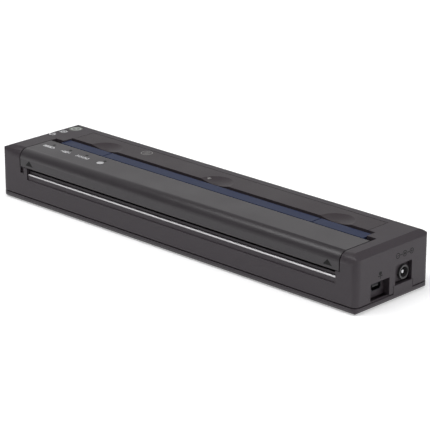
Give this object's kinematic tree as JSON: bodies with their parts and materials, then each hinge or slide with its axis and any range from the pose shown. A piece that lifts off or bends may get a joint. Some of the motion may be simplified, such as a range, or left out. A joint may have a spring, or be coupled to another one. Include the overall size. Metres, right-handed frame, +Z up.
{
  "type": "portable thermal printer",
  "caption": "Slim bar-shaped A4 thermal printer with a hinged release cover, a coloured top feed lip, a front tear bar, push buttons and end sockets.",
  "frame": {"origin": "centre of the underside, on the plane the feet stand on", "axes": "+X along the bar towards the end with the sockets, +Y to the rear, +Z up"},
  "size_m": [0.255, 0.055, 0.03],
  "materials": {
    "case_upper": "fine matt texture",
    "case_lower": "fine matt texture",
    "cover": "fine matt texture",
    "panel": "fine matt texture",
    "lip_blue": "satin",
    "lens": "smooth",
    "steel": "turned",
    "bar_steel": "brushed along the bar",
    "sheet_steel": "zinc plated",
    "motor_can": "plated",
    "aluminium": "extruded",
    "brass": "turned",
    "rubber": "ground rubber",
    "gear_plastic": "acetal",
    "ceramic": "glazed ceramic",
    "cable_film": "polyimide film",
    "board_green": "solder mask",
    "black_parts": "moulded",
    "battery_plastic": "fine texture",
    "button_plastic": "satin"
  },
  "bodies": {
    "base": {"upper_case": "case_upper", "lower_case": "case_lower", "feed_guide": "lip_blue", "rear_paper_guide": "panel", "tear_bar": "bar_steel", "platen_bushes": "gear_plastic", "gear_studs": "steel", "motor": "motor_can", "chassis": "sheet_steel", "head_springs": "sheet_steel", "head_cable": "cable_film", "main_board": "board_green", "board_parts": "black_parts", "board_screws": "steel", "usb_socket": "sheet_steel", "usb_tongue": "black_parts", "dc_jack": "black_parts", "dc_jack_pin": "steel", "battery_pack": "battery_plastic", "battery_contacts": "brass", "button_board": "board_green", "push_switches": "black_parts", "paper_sensor": "black_parts", "rubber_feet": "rubber", "case_screws": "steel", "chassis_screws": "steel"},
    "cover": {"release_cover": "cover", "cover_hinge_pins": "steel", "indicator_lenses": "lens"},
    "platen": {"platen_roller": "rubber", "platen_shaft": "steel", "platen_gear": "gear_plastic"},
    "front_idler": {"front_idler_gear": "gear_plastic"},
    "rear_idler": {"rear_idler_gear": "gear_plastic"},
    "pinion": {"motor_pinion": "brass"},
    "head": {"print_head": "ceramic", "head_heat_sink": "aluminium"},
    "power_key": {"power_button": "button_plastic"},
    "feed_key": {"feed_button": "button_plastic"},
    "door": {"battery_door": "case_upper"}
  },
  "joints": [
    {"name": "cover_hinge", "type": "hinge", "parent": "base", "child": "cover", "pos_m": [0, -0.0055, 0.028], "axis": [-1, 0, 0], "range_deg": [0, 80]},
    {"name": "platen_spin", "type": "hinge", "parent": "base", "child": "platen", "pos_m": [0, -0.0118, 0.022], "axis": [1, 0, 0], "continuous": true},
    {"name": "front_idler_spin", "type": "hinge", "parent": "base", "child": "front_idler", "pos_m": [-0.10955, -0.00174, 0.01642], "axis": [1, 0, 0], "continuous": true},
    {"name": "rear_idler_spin", "type": "hinge", "parent": "base", "child": "rear_idler", "pos_m": [-0.10955, 0.0096, 0.01451], "axis": [1, 0, 0], "continuous": true},
    {"name": "pinion_spin", "type": "hinge", "parent": "base", "child": "pinion", "pos_m": [-0.10955, 0.01566, 0.01892], "axis": [1, 0, 0], "continuous": true},
    {"name": "head_slide", "type": "slide", "parent": "base", "child": "head", "axis": [0, 0, -1], "range_m": [0, 0.0006], "stiffness_N_per_m": 4000, "springref_m": -0.001, "deforming": ["head_springs"]},
    {"name": "power_press", "type": "slide", "parent": "base", "child": "power_key", "axis": [0, 0, -1], "range_m": [0, 0.0005], "stiffness_N_per_m": 400, "springref_m": -0.001},
    {"name": "feed_press", "type": "slide", "parent": "base", "child": "feed_key", "axis": [0, 0, -1], "range_m": [0, 0.0005], "stiffness_N_per_m": 400, "springref_m": -0.001},
    {"name": "door_slide", "type": "slide", "parent": "base", "child": "door", "axis": [0, 1, 0], "range_m": [0, 0.012]}
  ],
  "couplings": [
    {"joint": "front_idler_spin", "follows": "platen_spin", "ratio": -0.76923},
    {"joint": "rear_idler_spin", "follows": "platen_spin", "ratio": 1},
    {"joint": "pinion_spin", "follows": "platen_spin", "ratio": -2}
  ]
}
